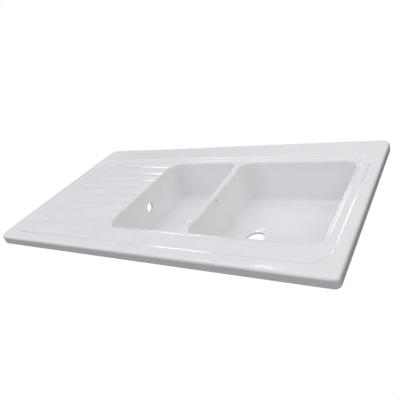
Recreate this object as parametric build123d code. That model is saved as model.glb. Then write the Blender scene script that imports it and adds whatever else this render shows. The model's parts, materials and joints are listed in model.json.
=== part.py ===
from build123d import *
from math import radians, sqrt, tan
import os

# Double-bowl kitchen sink with a ribbed drainboard, cast in one piece of glazed fireclay,
# with the sealing strip under its rim and the swing clips that hold it in a worktop.
# Millimetres. +X to the user's right, +Y to the wall, +Z up. The origin is the middle of
# the plan, on the plane that the flat undersides of the bowls stand on.

# ---- rim ----
SINK_WIDTH = 1070.0
SINK_DEPTH = 600.0
RIM_FRONT_LEFT_R = 30.0
RIM_BACK_LEFT_R = 24.0
RIM_BACK_RIGHT_R = 24.0
RIM_FRONT_RIGHT_R = 14.0
RIM_EDGE_R = 8.0
LIP_HEIGHT = 27.0
LIP_WALL = 12.0
LIP_FOOT_R = 2.5

# ---- the shallow step inside the rim, measured in from the outer edges ----
STEP_SIDE_MARGIN = 29.0
STEP_FRONT_MARGIN = 34.0
STEP_BACK_MARGIN = 85.0
STEP_CORNER_R = 55.0
STEP_DROP = 3.0
STEP_LEAN_DEG = 60.0
STEP_BLEND_R = 8.0

# ---- the recess that holds the drainboard and both bowls ----
RECESS_LEFT_MARGIN = 65.0
RECESS_RIGHT_MARGIN = 52.0
RECESS_FRONT_MARGIN = 95.0
RECESS_BACK_MARGIN = 98.0
RECESS_CORNER_R = 55.0
RECESS_DROP = 2.0
RECESS_LEAN_DEG = 60.0
RECESS_BLEND_R = 6.0
DECK_WALL = 11.0

# ---- bowls ----
MAIN_BOWL_WIDTH = 355.0
SMALL_BOWL_WIDTH = 252.0
BOWL_SETBACK = 13.0
BOWL_DEPTH = 146.0
BOWL_CORNER_R = 38.0
BOWL_DRAFT_DEG = 5.0
BOWL_WALL = 9.0
BOWL_MOUTH_R = 8.0
BOWL_FLOOR_R = 24.0
FLOOR_WALL = 8.0
FLOOR_FALL_DEG = 0.9
UNDERSIDE_EDGE_R = 30.0

# ---- the divider between the bowls ----
DIVIDER_THICKNESS = 20.0
DIVIDER_DROP = 6.0
DIVIDER_BLEND_R = 30.0
WEB_DEPTH = 50.0
WEB_WIDTH = 14.0

# ---- waste holes, overflow and the hole for a plug chain ----
FITTINGS_MARGIN = 289.0
WASTE_FROM_DIVIDER = 106.0
WASTE_HOLE_R = 27.0
WASTE_SEAT_R = 44.0
WASTE_SEAT_FLAT_R = 38.0
WASTE_SEAT_DROP = 2.0
WASTE_SEAT_BLEND_R = 8.0
WASTE_RIM_CHAMFER = 1.0
OVERFLOW_R = 15.0
OVERFLOW_DROP = 67.0
OVERFLOW_SEAT_R = 25.0
OVERFLOW_SEAT_DEPTH = 4.0
CHAIN_HOLE_R = 2.5
CHAIN_HOLE_DEPTH = 7.0
CHAIN_HOLE_DROP = 25.0

# ---- drainboard ----
CHANNEL_FRONT_MARGIN = 56.5
CHANNEL_BACK_MARGIN = 35.5
CHANNEL_PITCH = 45.0
CHANNEL_WIDTH = 27.0
CHANNEL_DEEP = 4.0
CHANNEL_SHALLOW = 1.2
CHANNEL_END_GAP = 26.0
CHANNEL_END_ARC_R = 230.0
CHANNEL_EDGE_R = 4.0
PAD_BORDER = 14.0
PAD_WALL = 14.0
UNDER_RIB_COUNT = 3
UNDER_RIB_SPACING = 130.0
UNDER_RIB_WIDTH = 12.0
UNDER_RIB_HEIGHT = 14.0
UNDER_RIB_EDGE_R = 4.0

# ---- sealing strip ----
SEAL_INSET = 3.0
SEAL_WIDTH = 7.0
SEAL_THICKNESS = 2.0

# ---- clips ----
CLIP_MARGIN = 33.0
CLIP_SPACING = 320.0
BOSS_R = 11.0
PLUG_R = 5.0
PLUG_LENGTH = 14.0
PLUG_END_GAP = 1.0
PLUG_SLOT_WIDTH = 1.0
PLUG_SLOT_LENGTH = 9.0
PLUG_FLANGE_R = 8.0
PLUG_FLANGE = 2.0
SCREW_R = 2.5
SCREW_GRIP = 47.0
SCREW_HEAD_R = 5.5
SCREW_HEAD = 3.5
SCREW_HEAD_CHAMFER = 1.0
SCREW_SLOT_WIDTH = 1.4
SCREW_SLOT_DEPTH = 1.6
CLAW_WIDTH = 16.0
CLAW_THICKNESS = 2.0
CLAW_REACH = 27.0
CLAW_TAIL = 10.0
CLAW_TAIL_R = 6.0
CLAW_RISE = 9.0
CLAW_BEND_R = 3.0
CLAW_TEETH = 4
CLAW_TOOTH_DEPTH = 1.6
SWING_CLEARANCE = 0.06

# ---- levels ----
RIM_Z = BOWL_DEPTH + FLOOR_WALL
LIP_Z = RIM_Z - LIP_HEIGHT
DECK_Z = RIM_Z - STEP_DROP
RECESS_Z = DECK_Z - RECESS_DROP
DECK_UNDERSIDE_Z = RECESS_Z - DECK_WALL
PAD_UNDERSIDE_Z = RECESS_Z - PAD_WALL
DIVIDER_Z = RECESS_Z - DIVIDER_DROP
FLANGE_Z = LIP_Z - PLUG_FLANGE
CLAW_Z = FLANGE_Z - SCREW_GRIP

# ---- plan ----
WEST = -SINK_WIDTH / 2
EAST = SINK_WIDTH / 2
FRONT = -SINK_DEPTH / 2
BACK = SINK_DEPTH / 2
RECESS_WEST = WEST + RECESS_LEFT_MARGIN
RECESS_EAST = EAST - RECESS_RIGHT_MARGIN
RECESS_FRONT = FRONT + RECESS_FRONT_MARGIN
RECESS_BACK = BACK - RECESS_BACK_MARGIN
BOWL_FRONT = RECESS_FRONT + BOWL_SETBACK
BOWL_BACK = RECESS_BACK - BOWL_SETBACK
MAIN_EAST = RECESS_EAST - BOWL_SETBACK
MAIN_WEST = MAIN_EAST - MAIN_BOWL_WIDTH
SMALL_EAST = MAIN_WEST - DIVIDER_THICKNESS
SMALL_WEST = SMALL_EAST - SMALL_BOWL_WIDTH
DIVIDER_X = (MAIN_WEST + SMALL_EAST) / 2
BOWL_MIDDLE_Y = (BOWL_FRONT + BOWL_BACK) / 2
FITTINGS_Y = FRONT + FITTINGS_MARGIN
OVERFLOW_Z = RIM_Z - OVERFLOW_DROP
WALL_LEAN = tan(radians(BOWL_DRAFT_DEG))
BOWLS = (
    (SMALL_WEST, SMALL_EAST, DIVIDER_X - WASTE_FROM_DIVIDER),
    (MAIN_WEST, MAIN_EAST, DIVIDER_X + WASTE_FROM_DIVIDER),
)
CHANNEL_FIRST_Y = RECESS_FRONT + CHANNEL_FRONT_MARGIN
CHANNEL_LAST_Y = RECESS_BACK - CHANNEL_BACK_MARGIN
CHANNEL_COUNT = 1 + round((CHANNEL_LAST_Y - CHANNEL_FIRST_Y) / CHANNEL_PITCH)
CHANNEL_R = ((CHANNEL_WIDTH / 2) ** 2 + CHANNEL_DEEP**2) / (2 * CHANNEL_DEEP)
RIM_CORNERS = (
    (-1, -1, RIM_FRONT_LEFT_R),
    (-1, 1, RIM_BACK_LEFT_R),
    (1, 1, RIM_BACK_RIGHT_R),
    (1, -1, RIM_FRONT_RIGHT_R),
)
ON_AXIS = (Align.CENTER, Align.CENTER, Align.MIN)
HANGING = (Align.CENTER, Align.CENTER, Align.MAX)


def rounded_block(west, east, front, back, corner_r, bottom_z, top_z):
    """An upright block with rounded plan corners."""
    plan = RectangleRounded(east - west, back - front, corner_r)
    block = extrude(plan, amount=top_z - bottom_z)
    return Pos((west + east) / 2, (front + back) / 2, bottom_z) * block


def rim_block(inset, bottom_z, top_z):
    """An upright block that follows the outline of the rim, a given distance inside it."""
    block = Box(SINK_WIDTH - 2 * inset, SINK_DEPTH - 2 * inset, top_z - bottom_z, align=ON_AXIS)
    for side, end, corner_r in RIM_CORNERS:
        uprights = block.edges().filter_by(Axis.Z)
        corner = uprights.sort_by(lambda edge: side * edge.center().X + end * edge.center().Y)[-1]
        block = fillet(corner, corner_r - inset)
    return Pos(0, 0, bottom_z) * block


def sinking_block(west, east, front, back, corner_r, top_z, bottom_z, lean_deg):
    """A block given by its outline at the top, whose sides lean inwards on the way down."""
    plan = RectangleRounded(east - west, back - front, corner_r)
    block = Rot(X=180) * extrude(plan, amount=top_z - bottom_z, taper=lean_deg)
    return Pos((west + east) / 2, (front + back) / 2, top_z) * block


def level_face(solid, z):
    """The largest upward face of a solid at a height."""
    flat = [face for face in solid.faces().filter_by(Plane.XY) if abs(face.center().Z - z) < 0.001]
    upward = [face for face in flat if face.normal_at().Z > 0]
    return max(upward, key=lambda face: face.area)


def sunk_with_blends(solid, void, upper_z, lower_z, blend_r):
    """Sinks a shallow void into a level face and blends its brow and its foot."""
    sunk = solid - void
    brow = level_face(sunk, upper_z).inner_wires()[0].edges()
    foot = level_face(sunk, lower_z).outer_wire().edges()
    return fillet(brow + foot, blend_r)


def rim_and_deck():
    """The slab with its rolled rim and its two shallow levels, still without bowls."""
    slab = rim_block(0, LIP_Z, RIM_Z)
    slab = fillet(slab.faces().sort_by(Axis.Z)[-1].edges(), RIM_EDGE_R)
    slab = fillet(slab.faces().sort_by(Axis.Z)[0].edges(), LIP_FOOT_R)
    step = sinking_block(
        WEST + STEP_SIDE_MARGIN,
        EAST - STEP_SIDE_MARGIN,
        FRONT + STEP_FRONT_MARGIN,
        BACK - STEP_BACK_MARGIN,
        STEP_CORNER_R,
        RIM_Z,
        DECK_Z,
        STEP_LEAN_DEG,
    )
    slab = sunk_with_blends(slab, step, RIM_Z, DECK_Z, STEP_BLEND_R)
    recess = sinking_block(
        RECESS_WEST,
        RECESS_EAST,
        RECESS_FRONT,
        RECESS_BACK,
        RECESS_CORNER_R,
        DECK_Z,
        RECESS_Z,
        RECESS_LEAN_DEG,
    )
    return sunk_with_blends(slab, recess, DECK_Z, RECESS_Z, RECESS_BLEND_R)


def lip_hollow():
    """The space under the deck, inside the lip."""
    return rim_block(LIP_WALL, LIP_Z, DECK_UNDERSIDE_Z)


def bowl_outside(west, east):
    """The drafted outer shape of one bowl, with its flat underside."""
    outside = sinking_block(
        west - BOWL_WALL,
        east + BOWL_WALL,
        BOWL_FRONT - BOWL_WALL,
        BOWL_BACK + BOWL_WALL,
        BOWL_CORNER_R + BOWL_WALL,
        RECESS_Z,
        0,
        BOWL_DRAFT_DEG,
    )
    return fillet(outside.faces().sort_by(Axis.Z)[0].edges(), UNDERSIDE_EDGE_R)


def bowl_inside(west, east, waste_x):
    """The space in one bowl: drafted walls and a floor that falls to the waste hole."""
    space = sinking_block(
        west,
        east,
        BOWL_FRONT,
        BOWL_BACK,
        BOWL_CORNER_R,
        RECESS_Z,
        0,
        BOWL_DRAFT_DEG,
    )
    towards_divider = -1 if waste_x > DIVIDER_X else 1
    above_floor = Box(2 * SINK_WIDTH, SINK_DEPTH, 2 * RIM_Z, align=ON_AXIS)
    space &= Pos(waste_x, 0, FLOOR_WALL) * Rot(Y=towards_divider * FLOOR_FALL_DEG) * above_floor
    return fillet(space.faces().sort_by(Axis.Z)[0].edges(), BOWL_FLOOR_R)


def divider_saddle():
    """What is taken off the divider, so that its crest lies lower than the recess."""
    end = (BOWL_BACK - BOWL_FRONT) / 2 - BOWL_CORNER_R
    run = sqrt(DIVIDER_DROP * (4 * DIVIDER_BLEND_R - DIVIDER_DROP))
    middle_z = (RECESS_Z + DIVIDER_Z) / 2
    with BuildSketch(Plane.YZ) as profile:
        with BuildLine():
            Polyline((-end, RECESS_Z), (-end, RIM_Z), (end, RIM_Z), (end, RECESS_Z))
            RadiusArc((end, RECESS_Z), (end - run / 2, middle_z), -DIVIDER_BLEND_R)
            RadiusArc((end - run / 2, middle_z), (end - run, DIVIDER_Z), DIVIDER_BLEND_R)
            Line((end - run, DIVIDER_Z), (run - end, DIVIDER_Z))
            RadiusArc((run - end, DIVIDER_Z), (run / 2 - end, middle_z), DIVIDER_BLEND_R)
            RadiusArc((run / 2 - end, middle_z), (-end, RECESS_Z), -DIVIDER_BLEND_R)
        make_face()
    saddle = extrude(profile.sketch, amount=DIVIDER_THICKNESS, both=True)
    return Pos(DIVIDER_X, BOWL_MIDDLE_Y, 0) * saddle


def mouth_edges(solid):
    """The sharp edges round both bowl mouths and along the divider."""
    recess_foot = level_face(solid, RECESS_Z).outer_wire().edges()
    return [
        edge
        for edge in solid.edges()
        if SMALL_WEST - 1 < (edge @ 0.5).X < MAIN_EAST + 1
        and DIVIDER_Z - 1 < (edge @ 0.5).Z < RECESS_Z + 1
        and abs((edge @ 0.5).X - DIVIDER_X) > 1
        and edge not in recess_foot
        and BOWL_FRONT - 1 < (edge @ 0.5).Y < BOWL_BACK + 1
    ]


def channel(index):
    """One drainboard channel: a trough with a round upper end, deeper towards the bowl."""
    middle_y = (CHANNEL_FIRST_Y + CHANNEL_LAST_Y) / 2
    y = middle_y + (index - (CHANNEL_COUNT - 1) / 2) * CHANNEL_PITCH
    bow = CHANNEL_END_ARC_R - sqrt(CHANNEL_END_ARC_R**2 - (y - middle_y) ** 2)
    start_x = RECESS_WEST + CHANNEL_END_GAP + bow
    run = SMALL_WEST - start_x
    axis = Plane(
        origin=(start_x, y, RECESS_Z + CHANNEL_R - CHANNEL_SHALLOW),
        z_dir=(run, 0, CHANNEL_SHALLOW - CHANNEL_DEEP),
    )
    trough = Cylinder(CHANNEL_R, run + BOWL_CORNER_R, align=ON_AXIS)
    return axis * (trough + Sphere(CHANNEL_R))


def channel_edges(solid):
    """The outlines of the channels, without the seams inside them."""
    round_faces = solid.faces().filter_by(GeomType.CYLINDER) + solid.faces().filter_by(GeomType.SPHERE)
    walls = [face for face in round_faces if face.radius and abs(face.radius - CHANNEL_R) < 0.001]
    edges = [edge for wall in walls for edge in wall.edges()]
    return [edge for edge in edges if edges.count(edge) == 1]


def drainboard_underside():
    """The thicker pad under the channels and the ribs that stiffen it."""
    pad = rounded_block(
        RECESS_WEST - PAD_BORDER,
        SMALL_WEST + BOWL_CORNER_R,
        RECESS_FRONT - PAD_BORDER,
        RECESS_BACK + PAD_BORDER,
        BOWL_CORNER_R,
        PAD_UNDERSIDE_Z,
        DECK_UNDERSIDE_Z,
    )
    length = SMALL_WEST + BOWL_CORNER_R - RECESS_WEST
    rib = Box(length, UNDER_RIB_WIDTH, UNDER_RIB_HEIGHT, align=(Align.MIN, Align.CENTER, Align.MAX))
    rib = fillet(rib.faces().sort_by(Axis.Z)[0].edges(), UNDER_RIB_EDGE_R)
    for index in range(UNDER_RIB_COUNT):
        y = (index - (UNDER_RIB_COUNT - 1) / 2) * UNDER_RIB_SPACING
        pad += Pos(RECESS_WEST, y, PAD_UNDERSIDE_Z) * rib
    return pad


def divider_web():
    """The web that ties the two bowls together under the divider."""
    length = BOWL_BACK - BOWL_FRONT - 2 * BOWL_CORNER_R
    web = Box(WEB_WIDTH, length, WEB_DEPTH, align=HANGING)
    return Pos(DIVIDER_X, BOWL_MIDDLE_Y, RECESS_Z) * web


def overflow_place():
    """The middle of the overflow hole on the outside of the small bowl's leaning wall, facing out."""
    wall_x = SMALL_WEST - BOWL_WALL + WALL_LEAN * (RECESS_Z - OVERFLOW_Z)
    return Pos(wall_x, BOWL_MIDDLE_Y, OVERFLOW_Z) * Rot(Y=-90)


def overflow_pad():
    """What is added to the leaning wall, so that the upright seat round the overflow hole is whole."""
    return overflow_place() * Cylinder(OVERFLOW_SEAT_R, BOWL_WALL, align=HANGING)


def overflow_cuts():
    """What is cut for the seat round the overflow hole, and the hole itself."""
    seat = Cylinder(OVERFLOW_SEAT_R, OVERFLOW_SEAT_DEPTH, align=ON_AXIS)
    return overflow_place() * (seat + Cylinder(OVERFLOW_R, 4 * BOWL_WALL))


def chain_hole():
    """The blind hole for a plug chain, in the main bowl's face of the divider."""
    z = RIM_Z - CHAIN_HOLE_DROP
    face_x = MAIN_WEST + WALL_LEAN * (RECESS_Z - z)
    hole = Rot(Y=90) * Cylinder(CHAIN_HOLE_R, 2 * CHAIN_HOLE_DEPTH)
    return Pos(face_x, FITTINGS_Y, z) * hole


def rings(solid, x, least_r, most_r):
    """The closed edges round a waste hole's axis, inside the bowl, within a band of radii."""
    axis_foot = Vector(x, FITTINGS_Y, 0)
    found = []
    for edge in solid.edges():
        point = edge @ 0.5
        away = (Vector(point.X, point.Y, 0) - axis_foot).length
        if edge.is_closed and least_r < away < most_r and 1 < point.Z < 2 * FLOOR_WALL:
            found.append(edge)
    return found


def with_waste(solid, waste_x):
    """Sinks the seat of a waste fitting into a bowl floor and drills its hole."""
    lean = (WASTE_SEAT_R - WASTE_SEAT_FLAT_R) / WASTE_SEAT_DROP
    wide_r = WASTE_SEAT_FLAT_R + lean * FLOOR_WALL
    place = Pos(waste_x, FITTINGS_Y, FLOOR_WALL - WASTE_SEAT_DROP)
    solid -= place * Cone(WASTE_SEAT_FLAT_R, wide_r, FLOOR_WALL, align=ON_AXIS)
    solid -= place * Cylinder(WASTE_HOLE_R, 4 * FLOOR_WALL)
    solid = fillet(rings(solid, waste_x, WASTE_SEAT_FLAT_R + 1, wide_r), WASTE_SEAT_BLEND_R)
    return chamfer(rings(solid, waste_x, WASTE_HOLE_R - 1, WASTE_HOLE_R + 1), WASTE_RIM_CHAMFER)


def clip_places():
    """The eight clips: the middle of each, and the direction out to the nearest rim, in degrees."""
    places = []
    for x in (-CLIP_SPACING, 0, CLIP_SPACING):
        places.append((x, FRONT + CLIP_MARGIN, -90))
    places.append((EAST - CLIP_MARGIN, 0, 0))
    for x in (CLIP_SPACING, 0, -CLIP_SPACING):
        places.append((x, BACK - CLIP_MARGIN, 90))
    places.append((WEST + CLIP_MARGIN, 0, 180))
    return places


def boss():
    """A boss under the deck, with the middle of its lower end on the origin."""
    return Cylinder(BOSS_R, DECK_UNDERSIDE_Z - LIP_Z, align=ON_AXIS)


def sink_body():
    """The whole casting."""
    body = rim_and_deck() - lip_hollow()
    for west, east, _ in BOWLS:
        body += bowl_outside(west, east)
    body += divider_web()
    body += drainboard_underside()
    body += overflow_pad()
    for x, y, _ in clip_places():
        body += Pos(x, y, LIP_Z) * boss()
        body -= Pos(x, y, LIP_Z) * Cylinder(PLUG_R, PLUG_LENGTH + PLUG_END_GAP, align=ON_AXIS)
    for west, east, waste_x in BOWLS:
        body -= bowl_inside(west, east, waste_x)
    body -= divider_saddle()
    body = fillet(mouth_edges(body), BOWL_MOUTH_R)
    for index in range(CHANNEL_COUNT):
        body -= channel(index)
    body = fillet(channel_edges(body), CHANNEL_EDGE_R)
    for _, _, waste_x in BOWLS:
        body = with_waste(body, waste_x)
    return body - overflow_cuts() - chain_hole()


def rim_seal():
    """The foam strip on the underside of the lip."""
    strip = rim_block(SEAL_INSET, LIP_Z - SEAL_THICKNESS, LIP_Z)
    return strip - rim_block(SEAL_INSET + SEAL_WIDTH, LIP_Z - SEAL_THICKNESS, LIP_Z)


def clip_plug():
    """An expanding plug, with its flange's underside on the origin and a slot across its end."""
    plug = Cylinder(PLUG_FLANGE_R, PLUG_FLANGE, align=ON_AXIS)
    plug += Pos(0, 0, PLUG_FLANGE) * Cylinder(PLUG_R, PLUG_LENGTH, align=ON_AXIS)
    plug -= Cylinder(SCREW_R, PLUG_FLANGE + PLUG_LENGTH, align=ON_AXIS)
    slot = Box(2 * PLUG_FLANGE_R, PLUG_SLOT_WIDTH, PLUG_SLOT_LENGTH, align=HANGING)
    return plug - Pos(0, 0, PLUG_FLANGE + PLUG_LENGTH) * slot


def clip_screw():
    """A slotted clip screw, point upwards, with its head's upper face on the origin."""
    head = Cylinder(SCREW_HEAD_R, SCREW_HEAD, align=HANGING)
    head = chamfer(head.faces().sort_by(Axis.Z)[0].edges(), SCREW_HEAD_CHAMFER)
    slot = Box(2 * SCREW_HEAD_R, SCREW_SLOT_WIDTH, SCREW_SLOT_DEPTH, align=ON_AXIS)
    head -= Pos(0, 0, -SCREW_HEAD) * slot
    length = SCREW_GRIP + PLUG_FLANGE + PLUG_LENGTH
    return head + Cylinder(SCREW_R, length, align=ON_AXIS)


def clip_claw():
    """A swing claw: a strip with a toothed end turned up, its hole on the origin, reaching to +X."""
    outer_r = CLAW_BEND_R + CLAW_THICKNESS
    inside = CLAW_REACH - CLAW_THICKNESS
    with BuildSketch(Plane.XZ) as profile:
        with BuildLine():
            Polyline((CLAW_REACH - outer_r, 0), (-CLAW_TAIL, 0), (-CLAW_TAIL, CLAW_THICKNESS))
            Line((-CLAW_TAIL, CLAW_THICKNESS), (CLAW_REACH - outer_r, CLAW_THICKNESS))
            RadiusArc((CLAW_REACH - outer_r, CLAW_THICKNESS), (inside, outer_r), -CLAW_BEND_R)
            Polyline((inside, outer_r), (inside, CLAW_RISE), (CLAW_REACH, CLAW_RISE), (CLAW_REACH, outer_r))
            RadiusArc((CLAW_REACH, outer_r), (CLAW_REACH - outer_r, 0), outer_r)
        make_face()
    claw = extrude(profile.sketch, amount=CLAW_WIDTH / 2, both=True)
    tail_corners = claw.edges().filter_by(Axis.Z).group_by(Axis.X)[0]
    claw = fillet(tail_corners, CLAW_TAIL_R)
    tooth_pitch = CLAW_WIDTH / CLAW_TEETH
    side = CLAW_TOOTH_DEPTH * sqrt(2)
    for index in range(1, CLAW_TEETH):
        notch = Rot(X=45) * Box(4 * CLAW_THICKNESS, side, side)
        claw -= Pos(CLAW_REACH, index * tooth_pitch - CLAW_WIDTH / 2, CLAW_RISE) * notch
    return claw - Cylinder(SCREW_R + SWING_CLEARANCE, 4 * CLAW_THICKNESS)


def write_part(name, shape):
    """Writes one named piece."""
    export_step(shape, f"parts/{name}.step")


os.makedirs("parts", exist_ok=True)
places = clip_places()
write_part("sink_body", sink_body())
write_part("rim_seal", rim_seal())
write_part("clip_plugs", Compound(children=[Pos(x, y, FLANGE_Z) * clip_plug() for x, y, _ in places]))
write_part("clip_screws", Compound(children=[Pos(x, y, CLAW_Z) * clip_screw() for x, y, _ in places]))
for number, (x, y, outwards) in enumerate(places, start=1):
    along_rim = outwards - 90
    write_part(f"clip_claw_{number}", Pos(x, y, CLAW_Z) * Rot(Z=along_rim) * clip_claw())
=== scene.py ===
# %% [markdown]
# # A fireclay kitchen sink with a drainboard
# The real object is one heavy casting of white glazed fireclay, with a foam strip under its
# rim and eight small swing clips that hold it down in a worktop. The construction, at its
# real size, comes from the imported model. This lesson gives it its looks.

import json
import math

import bpy
from mathutils import Matrix, Vector

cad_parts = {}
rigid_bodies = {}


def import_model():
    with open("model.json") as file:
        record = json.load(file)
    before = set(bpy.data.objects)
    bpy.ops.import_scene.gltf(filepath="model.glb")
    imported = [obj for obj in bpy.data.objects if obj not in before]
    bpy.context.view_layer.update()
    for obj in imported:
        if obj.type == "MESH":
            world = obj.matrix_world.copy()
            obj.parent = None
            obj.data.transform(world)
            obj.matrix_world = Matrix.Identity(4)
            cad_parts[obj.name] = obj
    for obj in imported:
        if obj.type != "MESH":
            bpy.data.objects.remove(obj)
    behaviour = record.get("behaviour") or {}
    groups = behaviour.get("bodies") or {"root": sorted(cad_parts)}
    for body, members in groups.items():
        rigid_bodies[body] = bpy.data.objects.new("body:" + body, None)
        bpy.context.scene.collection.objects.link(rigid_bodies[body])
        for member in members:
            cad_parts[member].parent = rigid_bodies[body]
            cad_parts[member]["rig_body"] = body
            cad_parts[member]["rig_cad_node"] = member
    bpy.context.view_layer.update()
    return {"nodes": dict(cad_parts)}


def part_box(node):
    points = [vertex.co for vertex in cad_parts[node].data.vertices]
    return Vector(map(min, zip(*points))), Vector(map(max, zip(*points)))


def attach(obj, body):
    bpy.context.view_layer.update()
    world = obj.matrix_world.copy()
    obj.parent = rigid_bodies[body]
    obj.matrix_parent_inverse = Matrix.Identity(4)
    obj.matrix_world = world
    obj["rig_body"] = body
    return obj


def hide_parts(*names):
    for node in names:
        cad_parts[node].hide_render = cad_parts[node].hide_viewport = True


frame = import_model()
nodes = frame["nodes"]
rim_low, rim_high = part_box("sink_body")
MM = 0.001
print("sink, metres:", [round(side, 4) for side in rim_high - rim_low])

# %% [markdown]
# The photograph was taken from above the front right corner. The four straight edges of the
# rim and the circles of its holes fix where the camera stood and how wide its lens was.

# %% The camera
CAMERA_PLACE = Vector((0.74456, -0.90245, 0.71596))
CAMERA_BACK = Vector((0.54035, -0.70288, 0.46259))
CAMERA_RIGHT = Vector((0.84086, 0.47123, -0.26622))
LENS_MM = 38.77

camera_data = bpy.data.cameras.new("camera")
camera_data.lens = LENS_MM
camera = bpy.data.objects.new("camera", camera_data)
bpy.context.scene.collection.objects.link(camera)
back = CAMERA_BACK.normalized()
right = (CAMERA_RIGHT - CAMERA_RIGHT.dot(back) * back).normalized()
up = back.cross(right)
turn = Matrix((right, up, back)).transposed()
camera.matrix_world = Matrix.Translation(CAMERA_PLACE) @ turn.to_4x4()
bpy.context.scene.camera = camera
print("camera looks", [round(x, 3) for x in -back])

# %% [markdown]
# Every finish below is a tree of nodes. Three helpers keep them readable: one turns a colour
# written as sRGB hex into the linear values that light is worked out in, one adds a node with
# its settings and the sockets that feed it, and one starts a material. Every pattern is laid
# out in Object coordinates, which are metres on the sink itself, so its scale is one over its
# real size. A noise's values crowd between about 0.35 and 0.7, so the Map Range that follows
# it says which of them count.

# %% Colours and nodes
# A Mix node has several sockets called A, B and Result, so those for colours go by number.
COLOUR_A, COLOUR_B, COLOUR_OUT = 6, 7, 2


def linear(hex_colour):
    """A colour given as sRGB hex, as the linear RGBA that the shaders use."""
    channels = [int(hex_colour[i : i + 2], 16) / 255 for i in (1, 3, 5)]
    curve = [c / 12.92 if c <= 0.04045 else ((c + 0.055) / 1.055) ** 2.4 for c in channels]
    return (*curve, 1.0)


def add_node(tree, kind, settings=(), links=()):
    """Adds a node. A key is a property or a socket's name or number. A link feeds a socket."""
    node = tree.nodes.new(kind)
    for key, value in dict(settings).items():
        if isinstance(key, int) or key in node.inputs:
            node.inputs[key].default_value = value
        else:
            setattr(node, key, value)
    for key, source in dict(links).items():
        tree.links.new(source, node.inputs[key])
    return node


def new_material(name):
    """A new material, with its tree, its Principled shader and its Object coordinates."""
    material = bpy.data.materials.new(name)
    material.use_nodes = True
    tree = material.node_tree
    place = add_node(tree, "ShaderNodeTexCoord").outputs["Object"]
    return material, tree, tree.nodes["Principled BSDF"], place


print("half grey in sRGB is", round(linear("#808080")[0], 3), "of the light of white")

# %% [markdown]
# Fireclay is a coarse clay body under a thick white glaze. The glaze lies on it like a skin of
# glass. It pools cool and bluish in the bowls, and lies thinner on the deck, where the body
# warms it a little. Its colour is mixed by height for that, with a slow mottle over it, and
# the odd speck of iron that comes up from the clay. All of it is faint, because the eye takes
# a sanitary glaze for plain white.

# %% White glaze: its colour
POOL_LOW = 10 * MM
POOL_HIGH = 140 * MM
MOTTLE_SIZE = 70 * MM
MOTTLE_STRENGTH = 0.3
SPECK_SPACING = 16 * MM
SPECK_SIZE = 0.45 * MM
SPECK_STRENGTH = 0.6

glaze, tree, shader, place = new_material("white_glaze_on_fireclay")
height = add_node(tree, "ShaderNodeSeparateXYZ", links={0: place}).outputs["Z"]
thin = add_node(
    tree, "ShaderNodeMapRange", {"From Min": POOL_LOW, "From Max": POOL_HIGH}, {"Value": height}
).outputs[0]
glaze_skin = add_node(
    tree,
    "ShaderNodeMix",
    {"data_type": "RGBA", COLOUR_A: linear("#EEEFF1"), COLOUR_B: linear("#EEEDEF")},
    {0: thin},
).outputs[COLOUR_OUT]
mottle = add_node(
    tree, "ShaderNodeTexNoise", {"Scale": 1 / MOTTLE_SIZE, "Detail": 4.0}, {"Vector": place}
).outputs["Fac"]
mottle = add_node(
    tree,
    "ShaderNodeMapRange",
    {"From Min": 0.35, "From Max": 0.75, "To Max": MOTTLE_STRENGTH},
    {"Value": mottle},
).outputs[0]
glaze_skin = add_node(
    tree,
    "ShaderNodeMix",
    {"data_type": "RGBA", COLOUR_B: linear("#E2E3E2")},
    {0: mottle, COLOUR_A: glaze_skin},
).outputs[COLOUR_OUT]
speck = add_node(
    tree, "ShaderNodeTexVoronoi", {"Scale": 1 / SPECK_SPACING}, {"Vector": place}
).outputs["Distance"]
speck = add_node(
    tree,
    "ShaderNodeMapRange",
    {"From Max": 2 * SPECK_SIZE / SPECK_SPACING, "To Min": SPECK_STRENGTH, "To Max": 0.0},
    {"Value": speck},
).outputs[0]
glaze_skin = add_node(
    tree,
    "ShaderNodeMix",
    {"data_type": "RGBA", COLOUR_B: linear("#B7A288")},
    {0: speck, COLOUR_A: glaze_skin},
).outputs[COLOUR_OUT]
print("glaze colour:", len(tree.nodes), "nodes")

# %% [markdown]
# A chain hung from the small hole in the divider for years, and its rust and the wet left a
# faint reddish stain round the hole. It is a soft ball of colour about that point, broken up by
# a finer noise so that it looks soaked in rather than sprayed on.

# %% The stain round the chain hole
STAIN_PLACE = Vector((116.5, -11.0, 129.0)) * MM
STAIN_REACH = 15 * MM
STAIN_GRAIN = 5 * MM
STAIN_STRENGTH = 0.5

away = add_node(
    tree, "ShaderNodeVectorMath", {"operation": "DISTANCE", 1: STAIN_PLACE}, {0: place}
).outputs["Value"]
stain = add_node(
    tree,
    "ShaderNodeMapRange",
    {
        "interpolation_type": "SMOOTHSTEP",
        "From Min": STAIN_REACH,
        "From Max": 0.0,
        "To Max": STAIN_STRENGTH,
    },
    {"Value": away},
).outputs[0]
patchy = add_node(
    tree, "ShaderNodeTexNoise", {"Scale": 1 / STAIN_GRAIN, "Detail": 3.0}, {"Vector": place}
).outputs["Fac"]
stain = add_node(
    tree, "ShaderNodeMath", {"operation": "MULTIPLY"}, {0: stain, 1: patchy}
).outputs[0]
glaze_skin = add_node(
    tree,
    "ShaderNodeMix",
    {"data_type": "RGBA", COLOUR_B: linear("#D8B7A6")},
    {0: stain, COLOUR_A: glaze_skin},
).outputs[COLOUR_OUT]
tree.links.new(glaze_skin, shader.inputs["Base Color"])
print("stain, mm across:", 2 * STAIN_REACH / MM)

# %% [markdown]
# The gloss is what says ceramic. The glaze's skin settled in the kiln with a slow ripple, a
# few centimetres from crest to crest, and a fine peel like an orange's. Both bend the
# reflections without being seen themselves. A film of dried water dulls the gloss in patches.
# A real peel is one or two millimetres wide, too fine to show at this size, so it is drawn at
# four.

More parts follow.
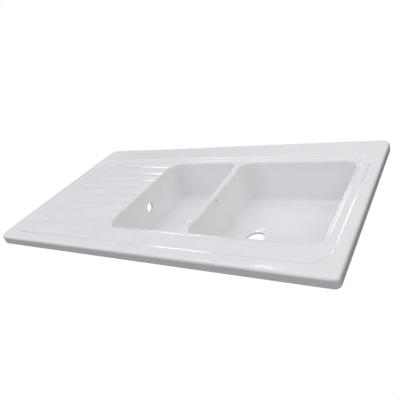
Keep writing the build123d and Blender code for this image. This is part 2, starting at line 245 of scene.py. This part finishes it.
# %% White glaze: its gloss
RIPPLE_SIZE = 30 * MM
RIPPLE_HEIGHT = 0.05 * MM
PEEL_SIZE = 4 * MM
PEEL_HEIGHT = 0.005 * MM
FILM_SIZE = 55 * MM
CLEAN_ROUGHNESS = 0.05
FILM_ROUGHNESS = 0.12
GLAZE_IOR = 1.55

ripple = add_node(
    tree, "ShaderNodeTexNoise", {"Scale": 1 / RIPPLE_SIZE, "Detail": 1.0}, {"Vector": place}
).outputs["Fac"]
peel = add_node(
    tree, "ShaderNodeTexNoise", {"Scale": 1 / PEEL_SIZE, "Detail": 1.0}, {"Vector": place}
).outputs["Fac"]
rippled = add_node(
    tree, "ShaderNodeBump", {"Strength": 1.0, "Distance": RIPPLE_HEIGHT}, {"Height": ripple}
).outputs[0]
peeled = add_node(
    tree,
    "ShaderNodeBump",
    {"Strength": 1.0, "Distance": PEEL_HEIGHT},
    {"Height": peel, "Normal": rippled},
).outputs[0]
tree.links.new(peeled, shader.inputs["Normal"])
film = add_node(
    tree, "ShaderNodeTexNoise", {"Scale": 1 / FILM_SIZE, "Detail": 5.0}, {"Vector": place}
).outputs["Fac"]
film = add_node(
    tree,
    "ShaderNodeMapRange",
    {"From Min": 0.4, "From Max": 0.7, "To Min": CLEAN_ROUGHNESS, "To Max": FILM_ROUGHNESS},
    {"Value": film},
).outputs[0]
tree.links.new(film, shader.inputs["Roughness"])
shader.inputs["IOR"].default_value = GLAZE_IOR
print("glaze with its gloss:", len(tree.nodes), "nodes")

# %% [markdown]
# Underneath, where nobody looks, the body is left bare, as biscuit: a creamy, sandy clay with
# darker blotches from the kiln. Grog, which is ground fired clay, gives it a grit of about a
# millimetre, drawn a little coarser so that it shows. It drinks the light and has no gloss.

# %% Bare fireclay biscuit
BLOTCH_SIZE = 40 * MM
GRIT_SIZE = 1.6 * MM
GRIT_HEIGHT = 0.15 * MM
GROG_STRENGTH = 0.5
BISCUIT_ROUGHNESS = 0.9
BISCUIT_IOR = 1.5

biscuit, tree, shader, place = new_material("bare_fireclay_biscuit")
blotch = add_node(
    tree, "ShaderNodeTexNoise", {"Scale": 1 / BLOTCH_SIZE, "Detail": 6.0}, {"Vector": place}
).outputs["Fac"]
blotch = add_node(
    tree, "ShaderNodeMapRange", {"From Min": 0.35, "From Max": 0.7}, {"Value": blotch}
).outputs[0]
clay = add_node(
    tree,
    "ShaderNodeMix",
    {"data_type": "RGBA", COLOUR_A: linear("#E4DCCD"), COLOUR_B: linear("#D5C8B2")},
    {0: blotch},
).outputs[COLOUR_OUT]
grit = add_node(
    tree, "ShaderNodeTexNoise", {"Scale": 1 / GRIT_SIZE, "Detail": 2.0}, {"Vector": place}
).outputs["Fac"]
grog = add_node(
    tree,
    "ShaderNodeMapRange",
    {"From Min": 0.6, "From Max": 0.75, "To Max": GROG_STRENGTH},
    {"Value": grit},
).outputs[0]
clay = add_node(
    tree,
    "ShaderNodeMix",
    {"data_type": "RGBA", COLOUR_B: linear("#B09C82")},
    {0: grog, COLOUR_A: clay},
).outputs[COLOUR_OUT]
gritty = add_node(
    tree, "ShaderNodeBump", {"Strength": 1.0, "Distance": GRIT_HEIGHT}, {"Height": grit}
).outputs[0]
tree.links.new(clay, shader.inputs["Base Color"])
tree.links.new(gritty, shader.inputs["Normal"])
shader.inputs["Roughness"].default_value = BISCUIT_ROUGHNESS
shader.inputs["IOR"].default_value = BISCUIT_IOR
print("biscuit:", len(tree.nodes), "nodes")

# %% [markdown]
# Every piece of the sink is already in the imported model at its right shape, as loose
# triangles. So a piece is copied and merged rather than made again, and the copy is finished
# with what the drawing leaves out. Weighted normals let its large faces stay flat and its
# rounded ones flow into them.

# %% A merged copy, and its flow
MERGE_GAP = 0.01 * MM


def alone(piece):
    """Deselects all and makes one piece the active, selected one."""
    bpy.ops.object.select_all(action="DESELECT")
    piece.select_set(True)
    bpy.context.view_layer.objects.active = piece


def copy_of(node_name, name):
    """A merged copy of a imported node, to be shaped further."""
    piece = nodes[node_name].copy()
    piece.data = nodes[node_name].data.copy()
    piece.name = piece.data.name = name
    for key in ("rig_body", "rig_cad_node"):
        del piece[key]
    piece.parent = None
    bpy.context.scene.collection.objects.link(piece)
    alone(piece)
    bpy.ops.mesh.customdata_custom_splitnormals_clear()
    bpy.ops.object.mode_set(mode="EDIT")
    bpy.ops.mesh.select_all(action="SELECT")
    bpy.ops.mesh.remove_doubles(threshold=MERGE_GAP)
    bpy.ops.object.mode_set(mode="OBJECT")
    return piece


def flowing(piece, angle_deg):
    """Smooths over the edges flatter than an angle, and lets the large faces lead."""
    alone(piece)
    bpy.ops.object.shade_smooth_by_angle(angle=math.radians(angle_deg))
    weighted = piece.modifiers.new("weighted", "WEIGHTED_NORMAL")
    weighted.keep_sharp = True
    bpy.ops.object.modifier_apply(modifier="weighted")


print("packed pieces to copy:", len(nodes))

# %% [markdown]
# The casting comes out of its mould with eight crisp channels. Glaze fills a channel more than
# the flat beside it, so on the copy every point of the channels is raised towards the
# drainboard's top, which leaves them 55 % as deep and as soft as the photograph shows them.

# %% The casting
DRAINBOARD_WEST = -470 * MM
DRAINBOARD_EAST = -158 * MM
DRAINBOARD_TOP = 149 * MM
CHANNELS_ABOVE = 144 * MM
GLAZE_FILL = 0.55
CASTING_FLOW_DEG = 50

casting = copy_of("sink_body", "glazed_casting")
moved = 0
for vertex in casting.data.vertices:
    x, y, z = vertex.co
    if DRAINBOARD_WEST < x < DRAINBOARD_EAST and CHANNELS_ABOVE < z < DRAINBOARD_TOP:
        vertex.co.z = DRAINBOARD_TOP - (DRAINBOARD_TOP - z) * GLAZE_FILL
        moved += 1
flowing(casting, CASTING_FLOW_DEG)
print("casting", len(casting.data.vertices), "points,", moved, "raised in the channels")

# %% [markdown]
# The glaze stops at the lip's foot, which is wiped before firing so that it doesn't stick to
# the kiln's shelf. All that is behind it faces down, so each face is given its finish by where
# it is and which way it looks. Round the outer edge the lip turns under, and there only a face
# that looks almost straight down is bare. The holes are glazed right through.

# %% Where the glaze stops
EDGE_BAND = 12 * MM
FACES_DOWN = 0.02
FACES_STRAIGHT_DOWN = -0.8
# The wastes' axes go by x and y, and the holes in the walls by y and z. A reach is a hole's
# radius and a little more, and an end is the furthest x that a hole comes to.
WASTE_AXES = ((-1 * MM, -11 * MM), (211 * MM, -11 * MM))
WASTE_REACH = 28 * MM
WASTE_TOP = 9 * MM
OVERFLOW_AXIS = (-1.5 * MM, 87 * MM)
OVERFLOW_REACH = 15.5 * MM
OVERFLOW_END = 175 * MM
CHAIN_AXIS = (-11 * MM, 129 * MM)
CHAIN_REACH = 4 * MM
CHAIN_END = 125 * MM


def is_bare(at, facing):
    """True for a face that the glaze doesn't reach."""
    if at.z < WASTE_TOP and min(math.dist(at.xy, axis) for axis in WASTE_AXES) < WASTE_REACH:
        return False
    if abs(at.x) < OVERFLOW_END and math.dist(at.yz, OVERFLOW_AXIS) < OVERFLOW_REACH:
        return False
    if abs(at.x) < CHAIN_END and math.dist(at.yz, CHAIN_AXIS) < CHAIN_REACH:
        return False
    near_the_edge = max(abs(at.x) - rim_high.x, abs(at.y) - rim_high.y) > -EDGE_BAND
    looks_outwards = facing.xy.dot(at.xy) > 0
    return facing.z < (FACES_STRAIGHT_DOWN if near_the_edge and looks_outwards else FACES_DOWN)


casting.data.materials.clear()
casting.data.materials.append(glaze)
casting.data.materials.append(biscuit)
bare = 0
for face in casting.data.polygons:
    face.material_index = int(is_bare(face.center, face.normal))
    bare += face.material_index
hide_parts("sink_body")
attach(casting, "root")
print("bare faces:", bare, "of", len(casting.data.polygons))

# %% [markdown]
# The strip that keeps water out of the joint is closed-cell foam, soft and nearly black. It was
# sliced from a block, so it shows burst cells about a millimetre wide, and no gloss at all. Each
# cell is drawn darker at its middle, where the bump sinks it deepest, as painted shade in the
# pit, and paler at its rim.

# %% Closed-cell foam
CELL_SIZE = 1.1 * MM
CELL_DEPTH = 0.12 * MM
FOAM_ROUGHNESS = 0.95

foam, tree, shader, place = new_material("closed_cell_foam_strip")
cells = add_node(
    tree, "ShaderNodeTexVoronoi", {"Scale": 1 / CELL_SIZE}, {"Vector": place}
).outputs["Distance"]
# The foam's dark grey, darker at each cell's middle: painted shade in the pits.
cells_and_painted_pit_shade = add_node(
    tree,
    "ShaderNodeMix",
    {"data_type": "RGBA", COLOUR_A: linear("#1F2022"), COLOUR_B: linear("#494B4E")},
    {0: cells},
).outputs[COLOUR_OUT]
pitted = add_node(
    tree, "ShaderNodeBump", {"Strength": 1.0, "Distance": CELL_DEPTH}, {"Height": cells}
).outputs[0]
tree.links.new(cells_and_painted_pit_shade, shader.inputs["Base Color"])
tree.links.new(pitted, shader.inputs["Normal"])
shader.inputs["Roughness"].default_value = FOAM_ROUGHNESS
print("foam:", len(tree.nodes), "nodes")

# %% [markdown]
# No real edge is quite sharp, and a rounded one catches a thin line of light. The small pieces
# get a narrow bevel on every corner for that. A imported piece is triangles, so its flat faces
# are joined first, or the bevel would find corners in them.

# %% The foam strip
STRIP_EDGE = 0.5 * MM
EDGE_STEPS = 2
FLAT_DEG = 1
CORNER_DEG = 50
SMALL_FLOW_DEG = 40


def with_soft_edges(piece, width):
    """Joins the flat faces of a copy again and rounds its sharp edges."""
    alone(piece)
    bpy.ops.object.mode_set(mode="EDIT")
    bpy.ops.mesh.select_all(action="SELECT")
    bpy.ops.mesh.dissolve_limited(angle_limit=math.radians(FLAT_DEG))
    bpy.ops.object.mode_set(mode="OBJECT")
    bevel = piece.modifiers.new("soft", "BEVEL")
    bevel.width = width
    bevel.segments = EDGE_STEPS
    bevel.limit_method = "ANGLE"
    bevel.angle_limit = math.radians(CORNER_DEG)
    bpy.ops.object.modifier_apply(modifier="soft")


def dress(piece, material, node_name, body):
    """Gives a finished copy its material, hides its imported node and hangs it on its body."""
    piece.data.materials.clear()
    piece.data.materials.append(material)
    for face in piece.data.polygons:
        face.material_index = 0
    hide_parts(node_name)
    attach(piece, body)
    print(piece.name, len(piece.data.polygons), "faces")


strip = copy_of("rim_seal", "foam_strip")
with_soft_edges(strip, STRIP_EDGE)
flowing(strip, SMALL_FLOW_DEG)
dress(strip, foam, "rim_seal", "root")

# %% [markdown]
# The plugs are moulded in natural nylon, a milky, slightly yellow plastic with a satin skin.
# The melt leaves faint cloudy flow marks, duller where it cooled last. Their flanges are
# rounded, as the mould's corners are.

# %% The nylon plugs
FLOW_SIZE = 6 * MM
SATIN_ROUGHNESS = 0.35
CLOUDY_ROUGHNESS = 0.5
NYLON_IOR = 1.53
FLANGE_EDGE = 0.4 * MM

nylon, tree, shader, place = new_material("moulded_natural_nylon")
flow = add_node(
    tree,
    "ShaderNodeTexNoise",
    {"Scale": 1 / FLOW_SIZE, "Detail": 3.0, "Distortion": 1.2},
    {"Vector": place},
).outputs["Fac"]
milky = add_node(
    tree,
    "ShaderNodeMix",
    {"data_type": "RGBA", COLOUR_A: linear("#E9E4D4"), COLOUR_B: linear("#D6CFBA")},
    {0: flow},
).outputs[COLOUR_OUT]
satin = add_node(
    tree,
    "ShaderNodeMapRange",
    {"To Min": SATIN_ROUGHNESS, "To Max": CLOUDY_ROUGHNESS},
    {"Value": flow},
).outputs[0]
tree.links.new(milky, shader.inputs["Base Color"])
tree.links.new(satin, shader.inputs["Roughness"])
shader.inputs["IOR"].default_value = NYLON_IOR

plugs = copy_of("clip_plugs", "nylon_plugs")
with_soft_edges(plugs, FLANGE_EDGE)
flowing(plugs, SMALL_FLOW_DEG)
dress(plugs, nylon, "clip_plugs", "root")

# %% [markdown]
# The clips are steel with a thin bright coat of zinc. Electroplated zinc is silvery with a
# faint blue and straw-yellow shimmer where its clear coat is thicker or thinner. The grain of
# the rolled steel still shows through it and breaks up the gloss. The real grain is a few
# tenths of a millimetre, so it is drawn coarser here to show at all.

# %% Zinc-plated steel
SHIMMER_SIZE = 9 * MM
ROLLING_SIZE = 1.2 * MM
ROLLING_HEIGHT = 0.02 * MM
BRIGHT_ROUGHNESS = 0.25
WORN_ROUGHNESS = 0.5

zinc, tree, shader, place = new_material("zinc_plated_steel")
shimmer = add_node(
    tree, "ShaderNodeTexNoise", {"Scale": 1 / SHIMMER_SIZE, "Detail": 3.0}, {"Vector": place}
).outputs["Fac"]
shimmer = add_node(
    tree, "ShaderNodeMapRange", {"From Min": 0.35, "From Max": 0.65}, {"Value": shimmer}
).outputs[0]
plated = add_node(
    tree,
    "ShaderNodeMix",
    {"data_type": "RGBA", COLOUR_A: linear("#C3C9D0"), COLOUR_B: linear("#CFCBB9")},
    {0: shimmer},
).outputs[COLOUR_OUT]
rolling = add_node(
    tree, "ShaderNodeTexNoise", {"Scale": 1 / ROLLING_SIZE, "Detail": 2.0}, {"Vector": place}
).outputs["Fac"]
worn = add_node(
    tree,
    "ShaderNodeMapRange",
    {"To Min": BRIGHT_ROUGHNESS, "To Max": WORN_ROUGHNESS},
    {"Value": rolling},
).outputs[0]
rolled = add_node(
    tree, "ShaderNodeBump", {"Strength": 1.0, "Distance": ROLLING_HEIGHT}, {"Height": rolling}
).outputs[0]
tree.links.new(plated, shader.inputs["Base Color"])
tree.links.new(worn, shader.inputs["Roughness"])
tree.links.new(rolled, shader.inputs["Normal"])
shader.inputs["Metallic"].default_value = 1.0
print("zinc:", len(tree.nodes), "nodes")

# %% [markdown]
# Each screw has a coarse thread that cuts its way into the nylon. On a drawing the shank is a
# plain rod, so here the rod is first thinned to the thread's root: each of its points moves
# towards the axis of the screw that it is nearest to.

# %% The screws' shanks
SCREW_R = 2.5 * MM
ROOT_R = 1.9 * MM
HEAD_TOP = 78 * MM
HEAD_EDGE = 0.2 * MM
SLACK = 0.1 * MM
CLIP_LINE_X = 320 * MM
CLIP_MARGIN = 33 * MM

end_x = rim_high.x - CLIP_MARGIN
side_y = rim_high.y - CLIP_MARGIN
screw_places = [(x, -side_y) for x in (-CLIP_LINE_X, 0, CLIP_LINE_X)] + [(end_x, 0)]
screw_places += [(x, side_y) for x in (CLIP_LINE_X, 0, -CLIP_LINE_X)] + [(-end_x, 0)]

screws = copy_of("clip_screws", "clip_screws_threaded")
for vertex in screws.data.vertices:
    axis = min(screw_places, key=lambda at: math.dist(at, vertex.co.xy))
    off_axis = vertex.co.xy - Vector(axis)
    if vertex.co.z > HEAD_TOP - SLACK and off_axis.length < SCREW_R + SLACK:
        vertex.co.xy = Vector(axis) + off_axis * ROOT_R / SCREW_R
with_soft_edges(screws, HEAD_EDGE)
print("screws:", len(screw_places))

# %% [markdown]
# The thread itself is a three-cornered ridge wound round the shank. One triangle is stood on
# the shank's side, swept up and round by the Screw modifier, and closed at both ends.

# %% One screw's thread
RIDGE_R = 0.5 * MM
THREAD_PITCH = 1.8 * MM
THREAD_TURNS = 33
STEPS_A_TURN = 16
THREAD_START = 79 * MM

bpy.ops.object.select_all(action="DESELECT")
bpy.ops.mesh.primitive_circle_add(
    vertices=3,
    radius=RIDGE_R,
    location=(SCREW_R - RIDGE_R, 0, THREAD_START),
    rotation=(math.radians(-90), math.radians(-90), 0),
)
ridge = bpy.context.object
bpy.ops.object.transform_apply(location=True, rotation=True)
winding = ridge.modifiers.new("winding", "SCREW")
winding.screw_offset = THREAD_PITCH
winding.iterations = THREAD_TURNS
winding.steps = winding.render_steps = STEPS_A_TURN
bpy.ops.object.modifier_apply(modifier="winding")
bpy.ops.object.mode_set(mode="EDIT")
bpy.ops.mesh.select_all(action="SELECT")
bpy.ops.mesh.fill_holes(sides=3)
bpy.ops.mesh.select_all(action="SELECT")
bpy.ops.mesh.normals_make_consistent(inside=False)
bpy.ops.object.mode_set(mode="OBJECT")
print("thread, mm long:", round(THREAD_PITCH * THREAD_TURNS / MM, 1))

# %% [markdown]
# The thread is made once and copied to the other seven screws, each copy with its own mesh.
# All eight are then joined to the shanks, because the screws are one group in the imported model.

# %% The threads on their screws
ridges = [ridge]
for _ in screw_places[1:]:
    twin = ridge.copy()
    twin.data = ridge.data.copy()
    bpy.context.scene.collection.objects.link(twin)
    ridges.append(twin)
for ridge, (x, y) in zip(ridges, screw_places):
    ridge.data.transform(Matrix.Translation((x, y, 0)))
alone(screws)
for ridge in ridges:
    ridge.select_set(True)
bpy.ops.object.join()
flowing(screws, SMALL_FLOW_DEG)
dress(screws, zinc, "clip_screws", "root")

# %% [markdown]
# The claws are pressed from strip. A press leaves one edge slightly rounded and the other
# slightly broken, so both are softened by a quarter of a millimetre. Each claw swings on its
# own screw, so each stays a piece of its own.

# %% The swing claws
PRESSED_EDGE = 0.25 * MM

for number in range(1, len(screw_places) + 1):
    claw = copy_of(f"clip_claw_{number}", f"swing_claw_{number}")
    with_soft_edges(claw, PRESSED_EDGE)
    flowing(claw, SMALL_FLOW_DEG)
    dress(claw, zinc, f"clip_claw_{number}", f"claw_{number}")

# %% [markdown]
# The sink hangs in a worktop, which in the photograph is cut away to plain white. A thin pale
# sheet with a hole in it stands in for the worktop's top. To the camera it is the same white
# as the background, and to the light it is a dull grey, so that it doesn't brighten the
# rim's edge from below.

# %% The pale sheet
SHEET_GAP = 0.5 * MM
SHEET_REACH = 400 * MM
CUT_OUT_INSET = 4 * MM

seal_low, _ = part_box("rim_seal")
bpy.ops.object.select_all(action="DESELECT")
bpy.ops.mesh.primitive_plane_add(size=1, location=(0, 0, seal_low.z - SHEET_GAP))
sheet = bpy.context.object
sheet.name = "pale_sheet"
reach = 2 * SHEET_REACH
sheet.scale = (rim_high.x - rim_low.x + reach, rim_high.y - rim_low.y + reach, 1)
bpy.ops.object.transform_apply(location=True, scale=True)
bpy.ops.object.mode_set(mode="EDIT")
bpy.ops.mesh.select_all(action="SELECT")
bpy.ops.mesh.inset(thickness=SHEET_REACH + CUT_OUT_INSET)
bpy.ops.mesh.delete(type="FACE")
bpy.ops.object.mode_set(mode="OBJECT")

paper, tree, shader, _ = new_material("white_paper_sheet")
tree.nodes.remove(shader)
seen = add_node(tree, "ShaderNodeLightPath").outputs["Is Camera Ray"]
dull = add_node(tree, "ShaderNodeBsdfDiffuse", {"Color": linear("#404040")}).outputs[0]
white = add_node(tree, "ShaderNodeEmission", {"Color": linear("#FFFFFF")}).outputs[0]
cut_away = add_node(tree, "ShaderNodeMixShader", links={0: seen, 1: dull, 2: white}).outputs[0]
tree.links.new(cut_away, tree.nodes["Material Output"].inputs["Surface"])
sheet.data.materials.append(paper)
print("sheet", [round(x, 3) for x in sheet.dimensions])

# %% [markdown]
# The light is a studio's: tall soft windows in front, a pale ceiling, dim walls, warm low on
# the right and cool on the left. Gloss mirrors whatever is round it, so each light is a soft
# patch on the sky. The wide patches give the white its shades, and five narrow ones, two of
# them an open door and three of them lamps, give the sparks on the edges. The camera itself
# sees only white behind the sink.

# %% The soft lights
# Each has its bearing from +X, its height and its reach in degrees, a colour and a strength.
SOFT_LIGHTS = {
    "ceiling": (0, 90, 45, "#FAFBFF", 0.72),
    "window_left": (225, 45, 45, "#FAFBFF", 0.72),
    "window_middle": (270, 45, 45, "#FAFBFF", 0.68),
    "window_right": (315, 45, 45, "#FAFBFF", 0.42),
    "right_wall": (0, 45, 45, "#FFFDFA", 0.68),
    "right_floor": (0, 12, 40, "#FFEEDC", 0.62),
    "back_right_wall": (45, 45, 45, "#F6FAFF", 0.3),
    "back_left_wall": (135, 45, 45, "#F4F6FF", 0.46),
    "back_low_wall": (90, 12, 40, "#FFFBF4", 0.5),
    "left_low_wall": (180, 12, 40, "#EEF5FF", 0.44),
    "door_bright": (126, 11, 6, "#FFFFFF", 7.0),
    "door_edge": (138, 12, 8, "#F4F8FF", 0.7),
    "lamp_behind": (122, 41, 3, "#FFFFFF", 10.0),
    "lamp_left": (145, 52, 5, "#FFFFFF", 9.0),
    "lamp_front_low": (250, 9, 9, "#FFFFFF", 5.0),
}


def towards(bearing, height):
    """The direction of a place in the sky."""
    bearing, height = math.radians(bearing), math.radians(height)
    level = math.cos(height)
    return Vector((level * math.cos(bearing), level * math.sin(bearing), math.sin(height)))


world = bpy.data.worlds.new("soft_studio")
bpy.context.scene.world = world
world.use_nodes = True
tree = world.node_tree
tree.nodes.clear()
looking = add_node(tree, "ShaderNodeTexCoord").outputs["Generated"]
sky = None
for bearing, height, reach, colour, strength in SOFT_LIGHTS.values():
    closeness = add_node(
        tree,
        "ShaderNodeVectorMath",
        {"operation": "DOT_PRODUCT", 1: towards(bearing, height)},
        {0: looking},
    ).outputs["Value"]
    glow = add_node(
        tree,
        "ShaderNodeMapRange",
        {
            "interpolation_type": "SMOOTHSTEP",
            "From Min": math.cos(math.radians(reach)),
            "From Max": 1.0,
            "To Max": strength,
        },
        {"Value": closeness},
    ).outputs[0]
    patch = add_node(
        tree, "ShaderNodeBackground", {"Color": linear(colour)}, {"Strength": glow}
    ).outputs[0]
    if sky:
        patch = add_node(tree, "ShaderNodeAddShader", links={0: sky, 1: patch}).outputs[0]
    sky = patch
seen = add_node(tree, "ShaderNodeLightPath").outputs["Is Camera Ray"]
white = add_node(tree, "ShaderNodeBackground", {"Color": linear("#FFFFFF")}).outputs[0]
shown = add_node(tree, "ShaderNodeMixShader", links={0: seen, 1: sky, 2: white}).outputs[0]
add_node(tree, "ShaderNodeOutputWorld", links={"Surface": shown})
bpy.context.scene.view_settings.view_transform = "Standard"
print("soft lights:", len(SOFT_LIGHTS))

# %% [markdown]
# One large dim lamp from below fills the underside, which the sheet keeps from the sky.

# %% The lamp below
LAMP_DEPTH = 1.5
LAMP_SIDE = 1.6
LAMP_WATTS = 30.0

bpy.ops.object.light_add(type="AREA", location=(0, 0, -LAMP_DEPTH), rotation=(math.pi, 0, 0))
below = bpy.context.object
below.name = "lamp_below"
below.data.size = LAMP_SIDE
below.data.energy = LAMP_WATTS
below.visible_camera = False
print("lamp below, watts:", below.data.energy)
